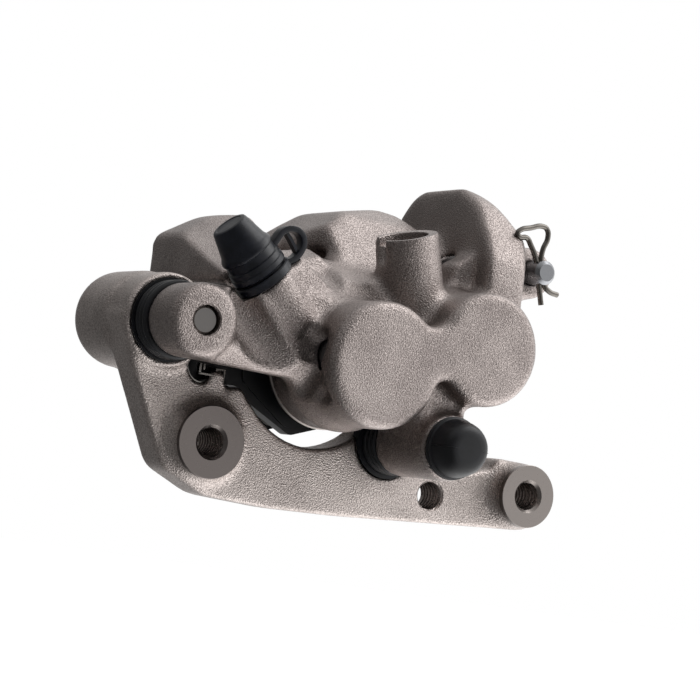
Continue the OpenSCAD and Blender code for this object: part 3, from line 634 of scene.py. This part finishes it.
combine(body_casting, boss_face, "DIFFERENCE")
finish_piece(body_casting, "caliper", "cast_metal", cast_metal, "caliper_body", edge=32)

# %% [markdown]
# Behind the left cylinder, the light catches a thin machined rim. It is a turned ring of its own, because the
# softening would have melted an edge this narrow.

# %% Rear rim of the left cylinder
BORE_LEFT = (-19.6, 27.5)
rim_rings = [(17.6, -4.2), (18.5, -4.2), (18.85, -3.9), (18.85, -3.3), (18.5, -3.0), (17.6, -3.0)]
rear_rim = turn("rear_rim", rim_rings, along_y(BORE_LEFT[0], 0, BORE_LEFT[1]), 128)
finish_piece(rear_rim, "caliper", "cast_metal", lug_right_metal, edge=30)

# %% [markdown]
# The hose port takes the M10 bolt of the hose, with a fine pitch of 1 mm. A real thread is cut out of the
# wall. Here its ridges are laid on the wall of a plain hole, as one small triangle carried along a screw.

# %% Thread of the hose port
port_thread = thread("hose_port_thread", 9.0, 10.0, 1.0, 12, shifted(hose_frame, 0, 0, -13.6))
finish_piece(port_thread, "caliper", "cast_metal", thread_metal)

# %% [markdown]
# The bracket is a casting too, with two lugs whose faces are turned flat and tapped M8. The lug faces are
# separate turned rings over the softened casting, so that their edges stay as sharp as a lathe leaves them.

# %% Softened bracket
bracket_casting = copy_of_node("bracket", "bracket_casting")
# The lip ends in front of y 7.3, which the inner pad's plate reaches when the caliper slides all the way.
notch_lip = box("notch_lip", (-54.6, 5.5, 13.0), (-49.7, 6.9, 19.6))
combine(bracket_casting, notch_lip, "UNION")
soften(bracket_casting, 0.7, 1.2, 4)
# Softening swells the back of the lip, so the way of the pad's plate is milled clear again.
pad_way = box("cutter", (-55.5, 6.95, 17.2), (-49.5, 11.0, 20.5))
combine(bracket_casting, pad_way, "DIFFERENCE")

LUG_SKIN = 1.1
for lug in (lug_left, lug_right):
    lug_cutter = turn("cutter", [(12.0, -LUG_SKIN), (12.0, 3.0)], along_y(lug[0], 0, lug[1]))
    combine(bracket_casting, lug_cutter, "DIFFERENCE")
DRILL_R = 4.05
for hole in (lug_left, lug_right, spare_hole):
    drill = turn("cutter", [(DRILL_R, -plate_back - 1), (DRILL_R, 3.0)], along_y(hole[0], 0, hole[1]))
    combine(bracket_casting, drill, "DIFFERENCE")
sink_at = along_y(spare_hole[0], plate_front, spare_hole[1])
sink = turn("cutter", [(4.0, -0.7), (4.7, 0.0), (4.7, 2.0)], sink_at)
combine(bracket_casting, sink, "DIFFERENCE")
finish_piece(bracket_casting, "bracket", "cast_metal", bracket_painted_light_metal, "bracket", edge=32)

# %% [markdown]
# Facing a lug leaves a flat ring, with a hair of a bevel on its rim and a wide one at the mouth of the hole.
# The ring reaches half a millimetre into the casting, so that no gap shows round it.

# %% Machined lug faces
def lug_ring(name, lug, radius):
    """The turned skin of a lug, with its bevelled mouth."""
    placed = along_y(lug[0], 0, lug[1])
    ring = turn(name, [(radius, -LUG_SKIN - 0.5), (radius, -0.12), (radius - 0.12, 0.0)], placed, 128)
    mouth = turn("cutter", [(DRILL_R, -4.0), (DRILL_R, -0.85), (4.9, 0.0), (4.9, 1.0)], placed, 128)
    combine(ring, mouth, "DIFFERENCE")
    return ring


finish_piece(lug_ring("lug_face_left", lug_left, 10.0), "bracket", "cast_metal", lug_left_painted_shade_metal, edge=20)
finish_piece(lug_ring("lug_face_right", lug_right, 9.3), "bracket", "cast_metal", lug_right_metal, edge=20)

# %% [markdown]
# The three holes of the bracket are taken for M8. A real M8 thread narrows to about 6.8 mm at a pitch of
# 1.25 mm, which is too fine to show in the render. It is drawn shallower and coarser than that, so that each
# ridge can be told from the next.

# %% Threads of the bracket
M8_MAJOR = 8.0
M8_CREST = 7.5
M8_PITCH = 1.5
for title, hole, front in (
        ("lug_thread_left", lug_left, 0.7), ("lug_thread_right", lug_right, 0.7),
        ("spare_thread", spare_hole, plate_front + 0.6)):
    depth = plate_back - front - 0.9
    ridges = thread(title, M8_CREST, M8_MAJOR, M8_PITCH, depth, along_y(hole[0], plate_back - 0.8, hole[1]))
    finish_piece(ridges, "bracket", "cast_metal", thread_metal)

# %% [markdown]
# A spring strip lines the notch that the pads hook into. Its front edge hides behind the lip of the casting,
# and only two small feet and the rail below them show from the front. They end before the pad's plate can
# reach them.

# %% Pad retainer
RETAINER_FRONT = 7.0
FEET_BACK = 7.2
retainer = copy_of_node("pad_retainer", "pad_retainer_strip")
retainer = keep_behind(retainer, (0, RETAINER_FRONT, 0), (0, -1, 0))
feet = (
    ((-57.9, 5.7, 18.2), (-57.3, FEET_BACK, 21.0)), ((-56.7, 5.7, 19.4), (-56.2, FEET_BACK, 21.0)),
    ((-57.9, 5.7, 18.0), (-51.4, FEET_BACK, 18.5)),
)
for low, high in feet:
    join(retainer, box("foot", low, high))
finish_piece(retainer, "bracket", "spring_steel", bright_steel, "pad_retainer", edge=30)

# %% [markdown]
# The bleed cap is one rubber moulding: a cone that covers the nipple, rings that grip it, a loose collar
# round its foot and a strap that keeps the cap from getting lost. It is turned ring by ring, and the strap
# is a ribbon that follows a loop.

# %% Bleed cap
cap_rings = [
    (5.2, 0.05), (7.9, 0.05), (8.2, 0.35), (8.2, 2.3), (7.9, 2.6), (6.7, 2.6), (6.7, 3.3), (7.8, 3.35),
    (8.0, 3.6), (8.0, 4.9), (7.75, 5.2), (7.75, 6.7), (7.3, 7.0), (7.2, 9.2), (7.55, 9.5), (7.65, 9.9),
    (7.55, 10.6), (7.0, 11.5), (6.75, 12.0), (5.15, 18.3), (4.9, 18.75), (4.5, 18.95), (3.9, 18.95),
    (3.7, 18.8)
]
cap = turn("bleed_cap_moulding", cap_rings, bleed_frame)
hollow = turn("cutter", [(5.0, -0.5), (5.0, 6.4), (3.4, 6.6), (3.4, 16.4)], bleed_frame)
combine(cap, hollow, "DIFFERENCE")

# %% [markdown]
# A strap or a wire is a smooth line with a section. The line is a curve, because its handles give an even
# bend from few points, and it is made a mesh at once, so that it can be thickened and bevelled.

# %% Ribbons and wires
def ribbon(name, points, placed, width_mm=0.0, round_mm=0.0):
    """A smooth line through points [x, z] in mm, made a ribbon of a width or a round wire of a radius."""
    data = bpy.data.curves.new(name, "CURVE")
    data.dimensions = "3D"
    data.resolution_u = 8
    data.extrude = width_mm / 2 * MM
    data.bevel_depth = round_mm * MM
    data.bevel_resolution = 4
    data.use_fill_caps = True
    line = data.splines.new("BEZIER")
    line.bezier_points.add(len(points) - 1)
    for knot, (x, z) in zip(line.bezier_points, points):
        knot.co = (x * MM, z * MM, 0)
        knot.handle_left_type = "AUTO"
        knot.handle_right_type = "AUTO"
    made = bpy.data.objects.new(name, data)
    bpy.context.scene.collection.objects.link(made)
    pick(made)
    bpy.ops.object.convert(target="MESH")
    made = bpy.context.object
    return settle(made, placed)


strap_loop = [
    (7.4, 0.7), (10.0, -0.1), (13.2, 0.3), (15.5, 1.9), (16.1, 4.2), (14.8, 6.6), (12.3, 7.8), (9.4, 7.4),
    (7.2, 6.7)
]
strap = ribbon("strap", strap_loop, bleed_frame @ FACING_FRONT, width_mm=3.4)
apply_modifier(strap, "SOLIDIFY", thickness=1.7 * MM, offset=0.0)
apply_modifier(strap, "BEVEL", width=0.25 * MM, segments=2, limit_method="ANGLE")
bar = ribbon("bar", [(12.2, 0.8), (12.6, 3.8), (12.8, 7.4)], bleed_frame @ FACING_FRONT, width_mm=2.0)
apply_modifier(bar, "SOLIDIFY", thickness=0.9 * MM, offset=0.0)
join(cap, face_outwards(strap), face_outwards(bar))
finish_piece(cap, "bleed_cap", "rubber", cap_rubber, "bleed_cap", edge=30)

# %% [markdown]
# The lower pin slides in a rubber sleeve whose closed end stands out of the boss as a dome. The two halves
# of its mould leave a fine flash, which shows as a line across the dome.

# %% Sleeve and its dome
sleeve_rings = [
    (7.0, -26.0), (7.0, 0.02), (8.6, 0.02), (8.75, 0.25), (8.75, 0.65), (8.4, 0.85), (8.4, 1.05), (8.6, 1.25),
    (8.6, 1.55), (8.1, 1.8), (7.9, 3.6), (7.6, 5.2), (7.15, 6.7), (6.6, 7.8), (5.9, 8.5), (4.9, 8.9),
    (3.4, 9.0), (0.3, 9.0)
]
dome_frame = along_y(lower_pin[0], lower_boss_front, lower_pin[1])
sleeve = turn("sleeve_moulding", sleeve_rings, dome_frame)
combine(sleeve, turn("cutter", [(5.3, -27.0), (5.3, 5.0)], dome_frame), "DIFFERENCE")
flash_rings = [
    (8.3, 1.8), (8.15, 3.6), (7.85, 5.25), (7.4, 6.8), (6.85, 7.95), (6.1, 8.7), (5.0, 8.98), (0.3, 8.99)
]
flash = turn("flash", flash_rings, Matrix.Scale(0.03, 4, (0, 1, 0)), 64)
settle(flash, dome_frame)
join(sleeve, flash)
finish_piece(sleeve, "caliper", "rubber", rubber, "pin_sleeve", edge=30)

# %% [markdown]
# The pad pin ends in a bevelled tip with a cross hole, and a clip of spring wire through the hole keeps it
# in. The wire is a smooth line given a round section, as wire is drawn before it is bent.

# %% Pad pin and clip
PIN_R = 3.5
CLIP_Y = -8.5
FINGER_BACK = 45.85
CLIP_LEAN = -18
pin_rings = [
    (5.0, -FINGER_BACK - 2.5), (5.0, -FINGER_BACK), (PIN_R, -FINGER_BACK + 0.01), (PIN_R, -pin_tip - 1.0),
    (PIN_R - 0.85, -pin_tip - 0.1), (PIN_R - 1.0, -pin_tip)
]
pin = turn("pad_pin_turned", pin_rings, along_y(pad_pin_at[0], 0, pad_pin_at[1]))
clip_frame = leaning(pad_pin_at[0], CLIP_Y, pad_pin_at[1], CLIP_LEAN, "Y")
combine(pin, turn("cutter", [(1.72, -8.0), (1.72, 8.0)], clip_frame, 48), "DIFFERENCE")
finish_piece(pin, "caliper", "machined_steel", steel, "pad_pin", edge=25)
clip_line = [
    (-0.83, -9.3), (-0.83, -4.0), (-0.84, 0.0), (-0.9, 4.4), (-2.2, 8.6), (-3.2, 10.6), (-5.9, 11.4),
    (-6.3, 12.4), (-5.2, 13.2), (-1.5, 13.4), (2.9, 13.3), (4.3, 12.2), (4.2, 9.8), (2.0, 6.6), (0.9, 3.6),
    (0.84, 0.0), (0.9, -3.4), (2.6, -5.8), (5.4, -7.2)
]
clip = ribbon("clip_wire", clip_line, clip_frame @ FACING_FRONT, round_mm=0.8)
finish_piece(clip, "caliper", "spring_steel", wire_steel, "pad_pin_clip", edge=60)

# %% [markdown]
# The part was photographed on a white table. A large soft light stands low on the right, where its glow on
# the table shines up under every rim, a weaker one hangs above, and the left side had nothing bright to
# mirror, so it falls into shade. Metal shows what it mirrors, so the light is set as the brightness of the
# surroundings by direction. The table itself is white to the camera, and keeps the shadow of the part. Metal
# doesn't mirror the table, because the surroundings already hold the glow that comes off it.

# %% Floor and backdrop
FLOOR_AT = -0.16
FLOOR_SIZE = 8.0
clear()
bpy.ops.mesh.primitive_plane_add(size=FLOOR_SIZE, location=(0, 0, FLOOR_AT))
floor = bpy.context.object
floor.name = "floor"
pick(floor)
bpy.ops.object.transform_apply(location=True)
floor_paint = bpy.data.materials.new("white_table")
floor_paint.use_nodes = True
floor_tree = floor_paint.node_tree
floor_shader = floor_tree.nodes["Principled BSDF"]
floor_shader.inputs["Base Color"].default_value = linear("#fafafa")
floor_shader.inputs["Roughness"].default_value = 0.8
floor_rays = add(floor_tree, "ShaderNodeLightPath")
TABLE_GLOW = 0.62
floor_seen = add(floor_tree, "ShaderNodeMath", {
    0: floor_rays.outputs["Is Camera Ray"], 1: TABLE_GLOW}, operation="MULTIPLY")
floor_glow = add(floor_tree, "ShaderNodeEmission", {"Strength": floor_seen.outputs[0]})
floor_lit = add(floor_tree, "ShaderNodeAddShader", {
    0: floor_shader.outputs["BSDF"], 1: floor_glow.outputs["Emission"]})
floor_clear = add(floor_tree, "ShaderNodeBsdfTransparent")
floor_mix = add(floor_tree, "ShaderNodeMixShader", {
    0: floor_rays.outputs["Is Glossy Ray"], 1: floor_lit.outputs[0], 2: floor_clear.outputs[0]})
floor_tree.links.new(floor_mix.outputs[0], floor_tree.nodes["Material Output"].inputs["Surface"])
floor.data.materials.append(floor_paint)
floor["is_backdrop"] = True

# %% [markdown]
# The surroundings are one shade of grey for each direction. A dim base fills the left, and three glows are
# added to it: one above, one on the right, and the lamp low on the right. The camera itself sees plain white.

# %% World
SHADE = 0.16
world = bpy.data.worlds.new("studio")
bpy.context.scene.world = world
world.use_nodes = True
sky = world.node_tree
sky_way = add(sky, "ShaderNodeTexCoord").outputs["Generated"]
sky_parts = add(sky, "ShaderNodeSeparateXYZ", {"Vector": sky_way})
LAMP_HEADING = Vector((0.70, -0.12, -0.71)).normalized()
sky_lamp = add(sky, "ShaderNodeVectorMath", {0: sky_way, 1: LAMP_HEADING}, operation="DOT_PRODUCT")


def glow(value, start, stop, strength):
    """Light that grows smoothly from nothing to its strength while a value goes from start to stop."""
    return add(sky, "ShaderNodeMapRange", {
        "Value": value, "From Min": start, "From Max": stop, "To Min": 0.0, "To Max": strength},
        interpolation_type="SMOOTHSTEP").outputs["Result"]


above = glow(sky_parts.outputs["Z"], 0.35, 0.9, 0.55)
right = glow(sky_parts.outputs["X"], -0.2, 0.9, 0.9)
lamp = glow(sky_lamp.outputs["Value"], 0.45, 0.95, 1.5)
sky_both = add(sky, "ShaderNodeMath", {0: above, 1: right}, operation="ADD")
sky_three = add(sky, "ShaderNodeMath", {0: sky_both.outputs[0], 1: lamp}, operation="ADD")
sky_all = add(sky, "ShaderNodeMath", {0: sky_three.outputs[0], 1: SHADE}, operation="ADD")
sky_rays = add(sky, "ShaderNodeLightPath")
sky_white = add(sky, "ShaderNodeMath", {
    0: sky_rays.outputs["Is Camera Ray"], 1: sky_all.outputs[0]}, operation="MAXIMUM")
sky.links.new(sky_white.outputs[0], sky.nodes["Background"].inputs["Strength"])
sky.nodes["Background"].inputs["Color"].default_value = (1, 1, 1, 1)

# %% [markdown]
# One square lamp above the table, to the right, gives the part its soft shadow. It is large and near, because
# a small one would draw hard edges.

# %% Light above the table
key_data = bpy.data.lights.new("key", "AREA")
key_data.shape = "SQUARE"
key_data.size = 1.2
key_data.energy = 9.0
key = bpy.data.objects.new("key", key_data)
bpy.context.scene.collection.objects.link(key)
key_at = Vector((0.9, -0.5, 1.1))
key_turn = (Vector((0, 0, 0.03)) - key_at).to_track_quat("-Z", "Y")
key.matrix_world = Matrix.Translation(key_at) @ key_turn.to_matrix().to_4x4()
print("lamps", len(bpy.data.lights))

# %% [markdown]
# Last come the plain view transform, which keeps the colours as they were chosen, and the boxes of the frame
# and of the finished part, printed one after the other.

# %% Settings and sizes
bpy.context.scene.view_settings.view_transform = "Standard"
clear()
new_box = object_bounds()
for title, corners in (("cad", cad_box), ("visual", new_box)):
    print(title, "box in mm", [[round(c / MM, 1) for c in corner] for corner in corners])
